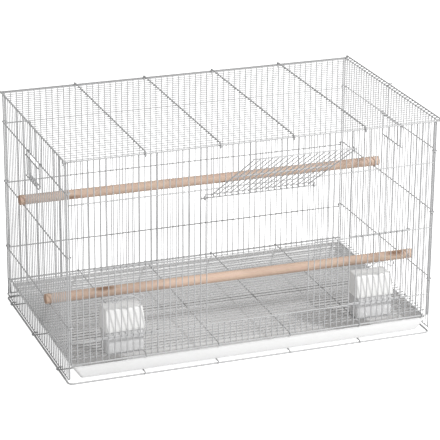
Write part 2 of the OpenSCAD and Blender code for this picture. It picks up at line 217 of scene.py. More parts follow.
def wire(bm, path, radius, sides=12, closed=False, up=None):
    """A round wire along a path, its cut ends softened by the coat."""
    shortest, cut_long, cut_size = 1e-5, 0.4, 0.62
    path = [Vector(p) for p in path]
    path = [p for k, p in enumerate(path) if k == 0 or (p - path[k - 1]).length > shortest]
    sizes = [radius] * len(path)
    if not closed:
        first = (path[1] - path[0]).normalized() * radius * cut_long
        last = (path[-2] - path[-1]).normalized() * radius * cut_long
        path = [path[0], path[0] + first] + path[1:-1] + [path[-1] + last, path[-1]]
        sizes = [radius * cut_size] + [radius] * (len(path) - 2) + [radius * cut_size]
    n = len(path)
    ways = []
    for k in range(n):
        before = path[(k - 1) % n] if closed or k else path[0]
        after = path[(k + 1) % n] if closed or k < n - 1 else path[-1]
        ways.append((after - before).normalized())
    side = Vector(up) if up else ways[0].orthogonal().normalized()
    rings = []
    for k in range(n):
        if k:
            side = ways[k - 1].rotation_difference(ways[k]) @ side
        side = (side - ways[k] * side.dot(ways[k])).normalized()
        other = ways[k].cross(side)
        turns = (2 * math.pi * s / sides for s in range(sides))
        rings.append([bm.verts.new(path[k] + (side * math.cos(t) + other * math.sin(t)) * sizes[k])
                      for t in turns])
    pairs = list(zip(rings, rings[1:])) + ([(rings[-1], rings[0])] if closed else [])
    for low, high in pairs:
        for s in range(sides):
            bm.faces.new((low[s], low[(s + 1) % sides], high[(s + 1) % sides], high[s]))
    if not closed:
        bm.faces.new(list(reversed(rings[0])))
        bm.faces.new(rings[-1])


def object_of(name, bm):
    """Turns a bmesh into an object in the scene, and frees it."""
    mesh = bpy.data.meshes.new(name)
    bm.to_mesh(mesh)
    bm.free()
    made = bpy.data.objects.new(name, mesh)
    bpy.context.scene.collection.objects.link(made)
    return made


def piece(name, bm, finish, body, node=None, crease=60):
    """The finished piece: faces outward, smooth but for its sharp edges, riding on its body."""
    bmesh.ops.recalc_face_normals(bm, faces=bm.faces)
    for face in bm.faces:
        face.smooth = True
    for edge in bm.edges:
        if len(edge.link_faces) == 2 and edge.calc_face_angle(0.0) > math.radians(crease):
            edge.smooth = False
    made = object_of(name, bm)
    made.data.materials.append(finish)
    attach(made, body)
    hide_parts(node or name)
    return made


def skin_tree(name, sockets):
    """A shader group with named inputs that gives colour, roughness and height."""
    group = bpy.data.node_groups.new(name, "ShaderNodeTree")
    for label, kind in sockets:
        group.interface.new_socket(label, in_out="INPUT", socket_type="NodeSocket" + kind)
    for label, kind in (("Color", "Color"), ("Roughness", "Float"), ("Height", "Float")):
        group.interface.new_socket(label, in_out="OUTPUT", socket_type="NodeSocket" + kind)
    return group


def coat_skin():
    """Powder coat: its orange peel, its slow change of tone, and dust on what faces up."""
    group = skin_tree("Powder coat skin", (
        ("Coat", "Color"), ("Aged", "Color"), ("Dust", "Color"), ("Dust amount", "Float"),
        ("Peel scale", "Float")))
    given = plant(group, "NodeGroupInput")
    out = plant(group, "NodeGroupOutput")
    place = plant(group, "ShaderNodeTexCoord")
    tone = plant(group, "ShaderNodeTexNoise", {"Scale": 11.0, "Detail": 3.0})
    aged = plant(group, "ShaderNodeMix", data_type="RGBA")
    facing = plant(group, "ShaderNodeNewGeometry")
    parts = plant(group, "ShaderNodeSeparateXYZ")
    upward = plant(group, "ShaderNodeMapRange", {"From Min": 0.25, "From Max": 0.95})
    specks = plant(group, "ShaderNodeTexNoise", {"Scale": 260.0, "Detail": 4.0, "Roughness": 0.65})
    broken = plant(group, "ShaderNodeMapRange", {"From Min": 0.38, "From Max": 0.62})
    lying = plant(group, "ShaderNodeMath", operation="MULTIPLY")
    amount = plant(group, "ShaderNodeMath", operation="MULTIPLY")
    dusty = plant(group, "ShaderNodeMix", data_type="RGBA")
    peel = plant(group, "ShaderNodeTexNoise", {"Detail": 2.0})
    rough = plant(group, "ShaderNodeMapRange", {"To Min": 0.34, "To Max": 0.5})
    rougher = plant(group, "ShaderNodeMath", {1: 0.25}, operation="MULTIPLY")
    whole = plant(group, "ShaderNodeMath", operation="ADD")
    join(group,
         (place, "Object", tone, "Vector"), (place, "Object", specks, "Vector"),
         (place, "Object", peel, "Vector"), (given, "Peel scale", peel, "Scale"),
         (tone, "Fac", aged, "Factor"), (given, "Coat", aged, "A"), (given, "Aged", aged, "B"),
         (facing, "Normal", parts, 0), (parts, "Z", upward, "Value"),
         (specks, "Fac", broken, "Value"), (upward, 0, lying, 0), (broken, 0, lying, 1),
         (lying, 0, amount, 0), (given, "Dust amount", amount, 1), (amount, 0, dusty, "Factor"),
         (aged, "Result", dusty, "A"), (given, "Dust", dusty, "B"),
         (dusty, "Result", out, "Color"), (tone, "Fac", rough, "Value"), (amount, 0, rougher, 0),
         (rough, 0, whole, 0), (rougher, 0, whole, 1), (whole, 0, out, "Roughness"),
         (peel, "Fac", out, "Height"))
    return group


skin_group = coat_skin()


def finish_of(name, group, values, bump, distance, **sockets):
    """A material on one of the shared skins, its plain values set on the shader itself."""
    material = bpy.data.materials.new(name)
    material.use_nodes = True
    tree = material.node_tree
    shader = tree.nodes["Principled BSDF"]
    skin = plant(tree, "ShaderNodeGroup")
    skin.node_tree = group
    for key, value in values.items():
        skin.inputs[key].default_value = value
    relief = plant(tree, "ShaderNodeBump", {"Strength": bump, "Distance": distance})
    join(tree,
         (skin, "Color", shader, "Base Color"), (skin, "Roughness", shader, "Roughness"),
         (skin, "Height", relief, "Height"), (relief, "Normal", shader, "Normal"))
    for key, value in sockets.items():
        shader.inputs[key.replace("_", " ")].default_value = value
    return material


white_coat = finish_of(
    "White powder coat", skin_group,
    {"Coat": (0.54, 0.54, 0.545, 1), "Aged": (0.47, 0.475, 0.48, 1),
     "Dust": (0.50, 0.49, 0.47, 1), "Dust amount": 0.35, "Peel scale": 900.0},
    0.25, 0.0001, Coat_Weight=0.15, Coat_Roughness=0.3)

panel = bmesh.new()
lower_cut = front_stays[2] + past - grate_z
over_feeder = (front_stays[1] - past, top_z - front_stays[1] + past)
over_door = (hinge_z - past, top_z - hinge_z + past)
for i, count in ((1, 3), (15, 8), (39, 7), (57, 3)):
    bars(panel, count, (bar_x(i), front_y, grate_z), across, (0, 0, top_z - grate_z), seed=i)
for i, count, low, rise in ((5, 9, *over_feeder), (47, 9, *over_feeder), (23, 16, *over_door)):
    bars(panel, count, (bar_x(i), front_y, grate_z), across, (0, 0, lower_cut), seed=i + 0.4)
    bars(panel, count, (bar_x(i), front_y, low), across, (0, 0, rise), seed=i + 0.7)
for i in (4, 14, 46, 56):
    guide = run((bar_x(i), front_y, grate_z), (bar_x(i), front_y, top_z), guide_sway)
    wire(panel, guide, stay_r)
for x in (-post_x, post_x):
    wire(panel, run((x, front_y, grate_z), (x, front_y, top_z), post_sway), edge_r)
for z, end in ((top_z, roof_end + edge_r), (grate_z, post_x)):
    y = front_y - edge_out
    wire(panel, run((-end, y, z), (end, y, z), edge_sway), edge_r)
    welds(panel, 59, (bar_x(1), front_y - lump_out, z), across, edge_lump)
for z, spans in zip(front_stays, (((0, 60),), ((0, 21), (40, 60)), ((0, 60),))):
    y = front_y - stay_out
    for first, last in spans:
        ends = (bar_x(first) - past, bar_x(last) + past)
        wire(panel, run((ends[0], y, z), (ends[1], y, z), stay_sway), stay_r)
        welds(panel, last - first - 1, (bar_x(first + 1), front_y - lump_out, z), across,
              stay_lump)
hinge_ends = (bar_x(21) - past, bar_x(40) + past)
hinge = run((hinge_ends[0], hinge_y, hinge_z), (hinge_ends[1], hinge_y, hinge_z))
wire(panel, hinge, edge_r, sides=16)
welds(panel, 20, (bar_x(21), front_y - lump_out, hinge_z), across, (0.0014, 0.0009, 0.0012))
piece("Front_grille", panel, white_coat, "cage", "front_grille")


# ---------------------------------------------------------------- Back grille
# The same welded panel without openings. Its bars run on down to the base, and
# its stays sit outside, just under those of the side grilles.

foot_z = 0.01067
back_stays = (0.3890490, 0.2596616, 0.1151864, foot_z)

panel = bmesh.new()
bars(panel, 59, (bar_x(1), back_y, foot_z), across, (0, 0, top_z - foot_z), seed=101.0)
for x in (-post_x, post_x):
    wire(panel, run((x, back_y, foot_z), (x, back_y, top_z), post_sway), edge_r)
for z, end in ((top_z, roof_end + edge_r), (grate_z, post_x)):
    y = back_y + edge_out
    wire(panel, run((-end, y, z), (end, y, z), edge_sway), edge_r)
    welds(panel, 59, (bar_x(1), back_y + lump_out, z), across, edge_lump)
for z in back_stays:
    y = back_y + stay_out
    wire(panel, run((-post_x - past, y, z), (post_x + past, y, z), stay_sway), stay_r)
    welds(panel, 59, (bar_x(1), back_y + lump_out, z), across, stay_lump)
piece("Back_grille", panel, white_coat, "cage", "back_grille")


# ---------------------------------------------------------------- Side grilles
# A left and a right panel of 37 upright wires with a nest opening each. Three stays
# run on past the ends and are curled round the corner posts of front and back, and
# one hook at the top goes over the end rod of the roof.

side_x, side_stay_x, side_edge_x = 0.381, 0.383, 0.3832
row_gap = 0.0127
rearward = (0, row_gap, 0)
side_stays = (0.3936492, 0.2642616, 0.1197864)
stay_curl, post_in, side_past = 0.00435, 0.00095, 0.0005
nest_z = 0.3472434
roof_bar_z, roof_rod_z = 0.4583, 0.4605
side_edge_lump, side_stay_lump = (0.001, 0.0015, 0.0012), (0.001, 0.0015, 0.0013)


def bar_y(j):
    return front_y + j * row_gap


def side_grille(name, node, hand, seed):
    panel = bmesh.new()
    x, stay_x, edge_x = hand * side_x, hand * side_stay_x, hand * side_edge_x
    lump_x = hand * (side_x + lump_out)
    tall = top_z - foot_z
    for j, count, low, rise, sway, more in (
            (1, 14, foot_z, tall, 0.0009, 0.0), (20, 16, foot_z, tall, 0.0009, 0.3),
            (15, 5, foot_z, nest_z + past - foot_z, 0.0009, 0.5),
            (15, 5, side_stays[0] - past, top_z - side_stays[0] + past, 0.0004, 0.8)):
        bars(panel, count, (x, bar_y(j), low), rearward, (0, 0, rise), (0, sway, 0), seed + more)
    for y in (front_y + post_in, back_y - post_in):
        wire(panel, run((x, y, foot_z), (x, y, top_z)), edge_r)
    centre = hand * (side_stay_x - stay_curl)
    for z in side_stays:
        front, back = (
            [Vector((centre + hand * p.x, p.y, p.z))
             for p in arc((0, y, z), stay_curl, 0, turn, "xy", 16)]
            for y, turn in ((front_y, -240), (back_y, 240)))
        straight = run((stay_x, front_y, z), (stay_x, back_y, z), stay_sway)
        wire(panel, list(reversed(front)) + straight[1:-1] + back, stay_r)
        welds(panel, 35, (lump_x, bar_y(1), z), rearward, side_stay_lump)
    ends = (front_y - side_past, back_y + side_past)
    for rail_x, z, radius, sway in ((edge_x, top_z, edge_r, 0.0004), (stay_x, foot_z, stay_r, 0)):
        wire(panel, run((rail_x, ends[0], z), (rail_x, ends[1], z), (0, 0, sway)), radius)
        welds(panel, 35, (lump_x, bar_y(1), z), rearward, side_edge_lump)
    ends = (bar_y(14) - side_past, bar_y(20) + side_past)
    wire(panel, run((stay_x, ends[0], nest_z), (stay_x, ends[1], nest_z)), stay_r)
    welds(panel, 7, (lump_x, bar_y(14), nest_z), rearward, side_stay_lump)
    y = bar_y(18) + row_gap / 2
    over = [Vector((hand * p.x, y, p.z)) for p in
            arc((roof_end, y, roof_rod_z), roof_end - side_edge_x, 180, -165, "xz", 16)]
    wire(panel, run((edge_x, y, side_stays[0]), (edge_x, y, roof_rod_z)) + over[1:], stay_r)
    piece(name, panel, white_coat, "cage", node)


side_grille("Left_grille", "left_grille", -1, 201.0)
side_grille("Right_grille", "right_grille", 1, 301.0)


# ---------------------------------------------------------------- Roof grille
# Thirty-seven thin wires left to right, welded under six thick rods that run front to
# back. The ends of the rods are bent down over the top wires of the front and the
# back, the two end rods outside the side panels.

hook_turn = 160
roof_rods = (-roof_end, -0.2259, -0.0753, 0.0753, 0.2259, roof_end)
roof_weld_z, flat_lump = 0.4592, (0.0013, 0.0014, 0.001)


def hooked_rod(bm, x, z, held_z, radius, sweep, sway=0.0006):
    """A front-to-back rod with a hook at each end round a wire of the front and of the back."""
    reach = z - held_z
    front = arc((x, front_y - edge_out, held_z), reach, 90, sweep, "yz", 12)
    back = arc((x, back_y + edge_out, held_z), reach, 90, -sweep, "yz", 12)
    middle = run((x, front_y - edge_out, z), (x, back_y + edge_out, z), (sway, 0, 0))
    wire(bm, list(reversed(front)) + middle[1:-1] + back, radius)


panel = bmesh.new()
roof_half = roof_end + edge_r
bars(panel, 37, (-roof_half, bar_y(0), roof_bar_z), rearward, (2 * roof_half, 0, 0),
     sway=(0, 0.001, 0), seed=401.0)
for x in roof_rods:
    sway = 0.0003 if abs(x) == roof_end else 0.0006
    hooked_rod(panel, x, roof_rod_z, top_z, edge_r, hook_turn, sway)
    welds(panel, 37, (x, bar_y(0), roof_weld_z), rearward, flat_lump)
piece("Top_grille", panel, white_coat, "cage", "top_grille")


# ---------------------------------------------------------------- Floor grille
# The grille the birds stand on, above the tray: thin wires left to right on six rods
# that hook down over the bottom wires of the front and the back.

walk_bar_z, walk_weld_z, walk_rod_z = 0.0462766, 0.0454, 0.0442766
walk_half, beside_bar = 0.3785, 0.0005

panel = bmesh.new()
bars(panel, 35, (-walk_half, bar_y(1), walk_bar_z), rearward, (2 * walk_half, 0, 0),
     sway=(0, 0.0012, 0), seed=501.0)
for i in (0, 12, 24, 36, 48, 59):
    x = bar_x(i) + beside_bar
    hooked_rod(panel, x, walk_rod_z, grate_z, stay_r, hook_turn)
    welds(panel, 35, (x, bar_y(1), walk_weld_z), rearward, flat_lump)
piece("Floor_grille", panel, white_coat, "cage", "floor_grille")


# ---------------------------------------------------------------- Base
# What the cage stands on: one thick wire bent to a rectangle, four rods hooked over it
# front to back, and three rods across, whose hairpin ends hold the feet of the sides.

base_r, base_bend = 0.002, 0.009
runner_gap, runner_z, runner_turn = 0.1524, 0.0054, 95
cross_z, pin_r, end_x, tail_x = 0.00797, 0.0027, 0.3883, 0.378

ring = bmesh.new()
x1 = side_stay_x - base_bend
y0, y1 = front_y - edge_out + base_bend, back_y + edge_out - base_bend
bends = []
for cx, cy, start in ((-x1, y0, 180), (x1, y0, 270), (x1, y1, 0), (-x1, y1, 90)):
    bends += arc((cx, cy, base_r), base_bend, start, 90, "xy", 10)
path = []
for k, point in enumerate(bends):
    path.append(point)
    after = bends[(k + 1) % len(bends)]
    if (after - point).length > base_bend:
        path += run(point, after)[1:-1]
wire(ring, path, base_r, sides=16, closed=True, up=(0, 0, 1))
piece("Base_frame", ring, white_coat, "cage", "base_frame")

rods = bmesh.new()
for k in range(1, 5):
    hooked_rod(rods, -side_x + k * runner_gap, runner_z, base_r, stay_r, runner_turn)
piece("Base_runners", rods, white_coat, "cage", "base_runners")

rods = bmesh.new()
tail_z = cross_z + 2 * pin_r
for j in (4.5, 18.5, 31.5):
    y = bar_y(j)
    right = arc((end_x, y, cross_z + pin_r), pin_r, -90, 180, "xz", 10)
    left = [Vector((-p.x, p.y, p.z)) for p in right]
    path = [Vector((-tail_x, y, tail_z))] + list(reversed(left))
    path += run((-end_x, y, cross_z), (end_x, y, cross_z), (0, 0.0004, 0))[1:-1]
    path += right + [Vector((tail_x, y, tail_z))]
    wire(rods, path, stay_r)
piece("Base_cross_rods", rods, white_coat, "cage", "base_cross_rods")


# ---------------------------------------------------------------- Tray
# The litter tray, one vacuum-formed sheet of off-white plastic 1.4 mm thick: a nearly
# upright front, leaning sides and back, an upright lip and a narrow flange. It slides
# out to the front.

tray_low, tray_high, tray_wall, tray_lip = 0.00942, 0.0358766, 0.0014, 0.004
tray_y = (-0.1182214, 0.3319786)
tray_half = 0.373


def rounded_loop(x0, x1, y0, y1, z, radius, steps=6):
    """Points round a rectangle with rounded corners, the same number for any size."""
    points = []
    for cx, cy, start in ((x1 - radius, y1 - radius, 0), (x0 + radius, y1 - radius, 90),
                          (x0 + radius, y0 + radius, 180), (x1 - radius, y0 + radius, 270)):
        for k in range(steps + 1):
            a = math.radians(start + 90 * k / steps)
            points.append(Vector((cx + radius * math.cos(a), cy + radius * math.sin(a), z)))
    return points


def formed(bm, loops):
    """A shell lofted through loops of points, closed by its first and its last loop."""
    rings = [[bm.verts.new(p) for p in loop] for loop in loops]
    n = len(rings[0])
    for low, high in zip(rings, rings[1:]):
        for k in range(n):
            bm.faces.new((low[k], low[(k + 1) % n], high[(k + 1) % n], high[k]))
    bm.faces.new(list(reversed(rings[0])))
    bm.faces.new(rings[-1])


def plastic_skin():
    """Moulded plastic: grain of the mould, faint flow marks, rougher and greyer light scuffs."""
    group = skin_tree("Moulded plastic skin", (
        ("Plastic", "Color"), ("Scuffed", "Color"), ("Scuffs", "Float"), ("Grain scale", "Float"),
        ("Gloss", "Float")))
    given = plant(group, "NodeGroupInput")
    out = plant(group, "NodeGroupOutput")
    place = plant(group, "ShaderNodeTexCoord")
    along = plant(group, "ShaderNodeMapping",
                  {"Scale": (14.0, 90.0, 40.0), "Rotation": (0.1, 0.2, 0.35)})
    scratch = plant(group, "ShaderNodeTexNoise", {"Scale": 3.0, "Detail": 6.0, "Roughness": 0.7})
    thin = plant(group, "ShaderNodeMapRange", {"From Min": 0.52, "From Max": 0.72})
    amount = plant(group, "ShaderNodeMath", operation="MULTIPLY")
    flow = plant(group, "ShaderNodeTexNoise", {"Scale": 7.0, "Detail": 2.0})
    blend = plant(group, "ShaderNodeMath", {1: 0.35}, operation="MULTIPLY")
    both = plant(group, "ShaderNodeMath", operation="ADD", use_clamp=True)
    colour = plant(group, "ShaderNodeMix", data_type="RGBA")
    grain = plant(group, "ShaderNodeTexNoise", {"Detail": 3.0})
    worn = plant(group, "ShaderNodeMath", {1: 0.22}, operation="MULTIPLY")
    rough = plant(group, "ShaderNodeMath", operation="ADD", use_clamp=True)
    join(group,
         (place, "Object", along, "Vector"), (along, 0, scratch, "Vector"),
         (place, "Object", flow, "Vector"), (place, "Object", grain, "Vector"),
         (given, "Grain scale", grain, "Scale"), (scratch, "Fac", thin, "Value"),
         (thin, 0, amount, 0), (given, "Scuffs", amount, 1), (flow, "Fac", blend, 0),
         (amount, 0, both, 0), (blend, 0, both, 1), (both, 0, colour, "Factor"),
         (given, "Plastic", colour, "A"), (given, "Scuffed", colour, "B"),
         (colour, "Result", out, "Color"), (both, 0, worn, 0), (worn, 0, rough, 0),
         (given, "Gloss", rough, 1), (rough, 0, out, "Roughness"), (grain, "Fac", out, "Height"))
    return group


plastic_group = plastic_skin()
tray_plastic = finish_of(
    "Off-white tray plastic", plastic_group,
    {"Plastic": (0.87, 0.87, 0.87, 1), "Scuffed": (0.79, 0.79, 0.78, 1), "Scuffs": 0.4,
     "Grain scale": 700.0, "Gloss": 0.36},
    0.2, 0.0001)

shell = bmesh.new()
t = tray_wall
fold = tray_high - tray_lip


def tray_loop(lean, front, z, radius):
    """One ring of the tray, drawn in by lean at sides and back, by front at the front."""
    return rounded_loop(-tray_half + lean, tray_half - lean, tray_y[0] + front, tray_y[1] - lean,
                        z, radius)


# Up the outside from the floor, round the flange, and down the inside.
loops = [tray_loop(*ring) for ring in (
    (0.0175, 0.0045, tray_low, 0.004), (0.0156, 0.0027, tray_low + 0.0008, 0.0055),
    (0.0144, 0.0020, tray_low + 0.0022, 0.006), (0.0010, 0.0002, fold - 0.0015, 0.0075),
    (0.0, 0.0, fold, 0.008), (0.0, 0.0, tray_high - t - 0.0005, 0.008),
    (-0.0002, -0.0001, tray_high - t, 0.0082), (-0.002, -0.0008, tray_high - t, 0.0095),
    (-0.0025, -0.001, tray_high - t + 0.0004, 0.0095),
    (-0.0025, -0.001, tray_high - 0.0004, 0.0095), (-0.002, -0.0008, tray_high, 0.0095),
    (t - 0.0004, t - 0.0004, tray_high, 0.0075), (t, t, tray_high - 0.0005, 0.0068),
    (t, t, fold + 0.0003, 0.0066), (t + 0.0009, t + 0.0002, fold - 0.0011, 0.0062),
    (0.0156, t + 0.0021, tray_low + t + 0.0014, 0.0045),
    (0.0172, t + 0.0034, tray_low + t, 0.003))]
formed(shell, loops)
piece("Tray", shell, tray_plastic, "tray", "tray", crease=35)


# ---------------------------------------------------------------- Front door
# A leaf of thin wires on three stays between two thicker side wires. Its top rail runs
# on a little at both sides, to a curl round the hinge wire. It is shown swung up, 123
# degrees from closed.

door_turn = Matrix.Rotation(math.radians(-123), 3, "X")
door_hinge = Vector((0, hinge_y, hinge_z))
leaf_x = (-0.0943, 0.1068733)
curl_x = (-0.1068733, 0.1194467)
leaf_y, leaf_stay_y, leaf_long = -0.00288, -0.00488, 0.266429
leaf_rail, leaf_past = 0.007, 0.0005


def swung(point):
    return door_hinge + door_turn @ Vector(point)


leaf = bmesh.new()
bars(leaf, 15, swung((leaf_x[0] + bar_gap, leaf_y, -leaf_long)), across,
     door_turn @ Vector((0, 0, leaf_long - leaf_rail)), seed=601.0)
for x in leaf_x:
    edge = run((x, leaf_y, -leaf_long), (x, leaf_y, -0.005), guide_sway)
    wire(leaf, [swung(p) for p in edge], stay_r)
for x in curl_x:
    hook = [Vector((x, leaf_y, -0.009))] + arc((x, 0, 0), -leaf_y, 180, -280, "yz", 18)
    wire(leaf, [swung(p) for p in hook], stay_r)
for z, (x0, x1) in ((-leaf_rail, curl_x), (-leaf_long * 0.52, leaf_x), (-leaf_long, leaf_x)):
    stay = run((x0 - leaf_past, leaf_stay_y, z), (x1 + leaf_past, leaf_stay_y, z), (0, 0, 0.0006))
    wire(leaf, [swung(p) for p in stay], stay_r)
    welds(leaf, 17, swung((leaf_x[0], leaf_y - lump_out, z)), across, (0.0014, 0.0011, 0.0011))
piece("Front_door", leaf, white_coat, "front_door", "front_door")

# The catch: one springy wire welded behind the corner of the leaf and bent to a hook
# that snaps under the lower stay of the front.
catch_x, catch_y, catch_z, catch_r = 0.1039733, -0.00735, -0.2689, 0.0012
catch_bend, catch_long, catch_hook = 0.0022, 0.034, 0.012
hook = bmesh.new()
bend_y, bend_z = catch_y + catch_bend, catch_z + catch_bend
path = run((catch_x, catch_y, catch_z + catch_long), (catch_x, catch_y, bend_z))
path += arc((catch_x, bend_y, bend_z), catch_bend, 180, 90, "yz", 8)[1:]
path += run((catch_x, bend_y, catch_z), (catch_x, catch_y + catch_hook, catch_z))[1:]
wire(hook, [swung(p) for p in path], catch_r)
piece("Front_door_catch", hook, white_coat, "front_door", "front_door_catch")


# ---------------------------------------------------------------- Feeder doors
# A small gate at each feeder: nine thin wires on two rails, whose ends are curled round
# the thicker guide bars so that the gate lifts straight up. The finger wire on its
# front has a raised middle and a curl at each end.

gate_y, rail_y, rail_r = -0.1218714, -0.1199714, 0.0012
rail_z = (0.089967, 0.234442)
handle_y, handle_z, handle_r = -0.1240414, 0.1622, 0.0012
handle_half, handle_curl, handle_rise = 0.026, 0.0055, 0.0114
feeder_middle = 0.2640386


def feeder_door(side, hand, seed):
    body = side.lower() + "_feeder_door"
    gate = bmesh.new()
    first_x = bar_x(47) if hand > 0 else -bar_x(55)
    low, high = rail_z[0] - rail_r, rail_z[1] + rail_r
    bars(gate, 9, (first_x, gate_y, low), across, (0, 0, high - low), (0.0008, 0, 0), seed)
    for z in rail_z:
        near, far = (
            [Vector((hand * (end - way * p.x), front_y + p.y, z))
             for p in arc((0, 0, 0), front_y - rail_y, 270, 220, "xy", 14)]
            for end, way in ((bar_x(46), 1), (bar_x(56), -1)))
        straight = run((hand * bar_x(46), rail_y, z), (hand * bar_x(56), rail_y, z), (0, 0, 0.0004))
        wire(gate, list(reversed(near)) + straight[1:-1] + far, rail_r)
        welds(gate, 9, (first_x, (gate_y + rail_y) / 2, z), across, (0.0014, 0.001, 0.0012))
    piece(side + "_feeder_door", gate, white_coat, body, body)

    # The raised middle is an arch that runs smoothly into the curl at each end.
    half, curl_r, rise = handle_half, handle_curl, handle_rise
    arch = (half * half + (rise - curl_r) ** 2 - curl_r * curl_r) / (2 * rise)
    lean = math.degrees(math.atan2(curl_r - rise + arch, half))
    x, y, z = hand * feeder_middle, handle_y, handle_z
    right = arc((x + half, y, z + curl_r), curl_r, 180 + lean, 262, "xz", 20)
    left = [Vector((2 * x - p.x, p.y, p.z)) for p in right]
    middle = arc((x, y, z + rise - arch), arch, 180 - lean, 2 * lean - 180, "xz", 20)
    finger = bmesh.new()
    wire(finger, list(reversed(left)) + middle[1:-1] + right, handle_r)
    piece(side + "_feeder_handle", finger, white_coat, body,
          side.lower() + "_feeder_handle")


feeder_door("Left", -1, 701.0)
feeder_door("Right", 1, 801.0)


# ---------------------------------------------------------------- Bowls
# A deep rectangular seed cup of milky clear styrene behind each feeder door, moulded with
# rounded corners and a thin rim. It stands on the floor grille and lifts out.

bowl_half, bowl_front, bowl_deep = 0.039, -0.1072214, 0.044
bowl_low, bowl_high, cup_wall = 0.0473266, 0.0973266, 0.0016

clear_plastic = finish_of(
    "Clear styrene", plastic_group,
    {"Plastic": (0.95, 0.95, 0.955, 1), "Scuffed": (0.88, 0.88, 0.88, 1), "Scuffs": 0.5,
     "Grain scale": 500.0, "Gloss": 0.16},
    0.08, 0.0001, Transmission_Weight=0.38, IOR=1.5)


def bowl(side, hand):
    name = side.lower() + "_bowl"
    cup = bmesh.new()
    x, y, t = hand * feeder_middle, bowl_front, cup_wall
    low, high = bowl_low, bowl_high
    # Up the outside, over the rim, and down the inside.
    loops = [
        rounded_loop(x - bowl_half + inset, x + bowl_half - inset, y + inset,
                     y + bowl_deep - inset, z, radius)
        for inset, z, radius in (
            (0.003, low, 0.004), (0.0012, low + 0.0004, 0.005), (0.0003, low + 0.0014, 0.0057),
            (0.0, low + 0.003, 0.006), (0.0, high - 0.0004, 0.006), (0.0004, high, 0.0056),
            (t - 0.0004, high, 0.0048), (t, high - 0.0004, 0.0044), (t, low + t + 0.003, 0.0044),
            (t + 0.0004, low + t + 0.0014, 0.0042), (t + 0.0014, low + t + 0.0004, 0.0036),
            (t + 0.003, low + t, 0.003))]
    formed(cup, loops)
    piece(side + "_bowl", cup, clear_plastic, name, name, crease=50)


bowl("Left", -1)
bowl("Right", 1)


# ---------------------------------------------------------------- Hoods
# A white moulded hood over each bowl that keeps the husks in. Its front leans back and
# its sides draw in towards the top; it is open to the back, where the bird feeds, and
# its skirt sits over the rim of the bowl.

hood_low, hood_high, hood_knee = 0.0933266, 0.1373266, 0.0983266
hood_front, hood_back = -0.1089714, -0.0632214
hood_half, hood_half_top, hood_lean = 0.04075, 0.03825, 0.009
hood_fold, hood_edge = 0.0035, 0.0004

white_plastic = finish_of(
    "White hood plastic", plastic_group,
    {"Plastic": (0.88, 0.88, 0.87, 1), "Scuffed": (0.78, 0.78, 0.77, 1), "Scuffs": 0.35,
     "Grain scale": 900.0, "Gloss": 0.3},
    0.15, 0.0001)


def shaped(form):
    """The form with its modifiers applied, as a bmesh; the form itself is removed."""
    solid = bpy.data.meshes.new_from_object(
        form.evaluated_get(bpy.context.evaluated_depsgraph_get()))
    bm = bmesh.new()
    bm.from_mesh(solid)
    bpy.data.objects.remove(form)
    return bm


def hood(side, hand):
    name = side.lower() + "_hood"
    middle = hand * feeder_middle
    sheet = bmesh.new()
    low, knee, top = (
        [sheet.verts.new((middle + x, y, z))
         for x, y in ((-half, hood_back), (-half, front), (half, front), (half, hood_back))]
        for half, front, z in (
            (hood_half, hood_front, hood_low), (hood_half, hood_front, hood_knee),
            (hood_half_top, hood_front + hood_lean, hood_high)))
    for under, over in ((low, knee), (knee, top)):
        for n in range(3):
            sheet.faces.new((under[n], under[n + 1], over[n + 1], over[n]))
    sheet.faces.new(top)
    bmesh.ops.recalc_face_normals(sheet, faces=sheet.faces)
    if sum(face.normal.y for face in sheet.faces) > 0:
        bmesh.ops.reverse_faces(sheet, faces=sheet.faces)
    folds = [e for e in sheet.edges
             if len(e.link_faces) == 2 and e.calc_face_angle() > math.radians(25)]
    bmesh.ops.bevel(sheet, geom=folds, offset=hood_fold, segments=5, profile=0.5, affect="EDGES")
    form = object_of("hood", sheet)
    wall = form.modifiers.new("Wall", "SOLIDIFY")
    wall.thickness = cup_wall
    wall.offset = -1
    wall.use_even_offset = True
    edge = form.modifiers.new("Edge", "BEVEL")
    edge.width = hood_edge
    edge.segments = 2
    edge.limit_method = "ANGLE"
    edge.angle_limit = math.radians(60)
    finished = shaped(form)
    piece(side + "_hood", finished, white_plastic, name, name, crease=40)


hood("Left", -1)
hood("Right", 1)


# ---------------------------------------------------------------- Nest doors
# A flap of five short wires over the nest opening of each side, hung from the upper
# side stay by a curl at each end and free to swing outwards.

flap_x, flap_long, flap_rail = 0.38568, 0.0497058, 0.007


def nest_door(side, hand, seed):
    name = side.lower() + "_nest_door"
    flap = bmesh.new()
    x, top = hand * flap_x, side_stays[0]
    stay_x, lump_x = hand * (flap_x + stay_out), hand * (flap_x + lump_out)
    ends = (bar_y(13.5), bar_y(20.5))
    bars(flap, 5, (x, bar_y(15), top - flap_long), rearward, (0, 0, flap_long - flap_rail),
         (0, 0.0006, 0), seed)
    for y in ends:
        curl = [Vector((hand * p.x, p.y, p.z)) for p in
                arc((side_stay_x, y, top), flap_x - side_stay_x, 0, 280, "xz", 18)]
        wire(flap, run((x, y, top - flap_long), (x, y, top)) + curl[1:], stay_r)
    for z in (top - flap_rail, top - flap_long):
        front, rear = ends[0] - side_past, ends[1] + side_past
        wire(flap, run((stay_x, front, z), (stay_x, rear, z), (0, 0, 0.0003)), stay_r)
        welds(flap, 5, (lump_x, bar_y(15), z), rearward, (0.001, 0.0014, 0.0012))
    piece(side + "_nest_door", flap, white_coat, name, name)


nest_door("Left", -1, 901.0)
nest_door("Right", 1, 951.0)


# ---------------------------------------------------------------- Perches
# Two plain softwood dowels 20 mm thick. Each end has an upright saw cut that straddles
# one bar of a side grille, and the dowel lies on the side stays. Both were put in a
# little askew: the right end is one bar further to the front.

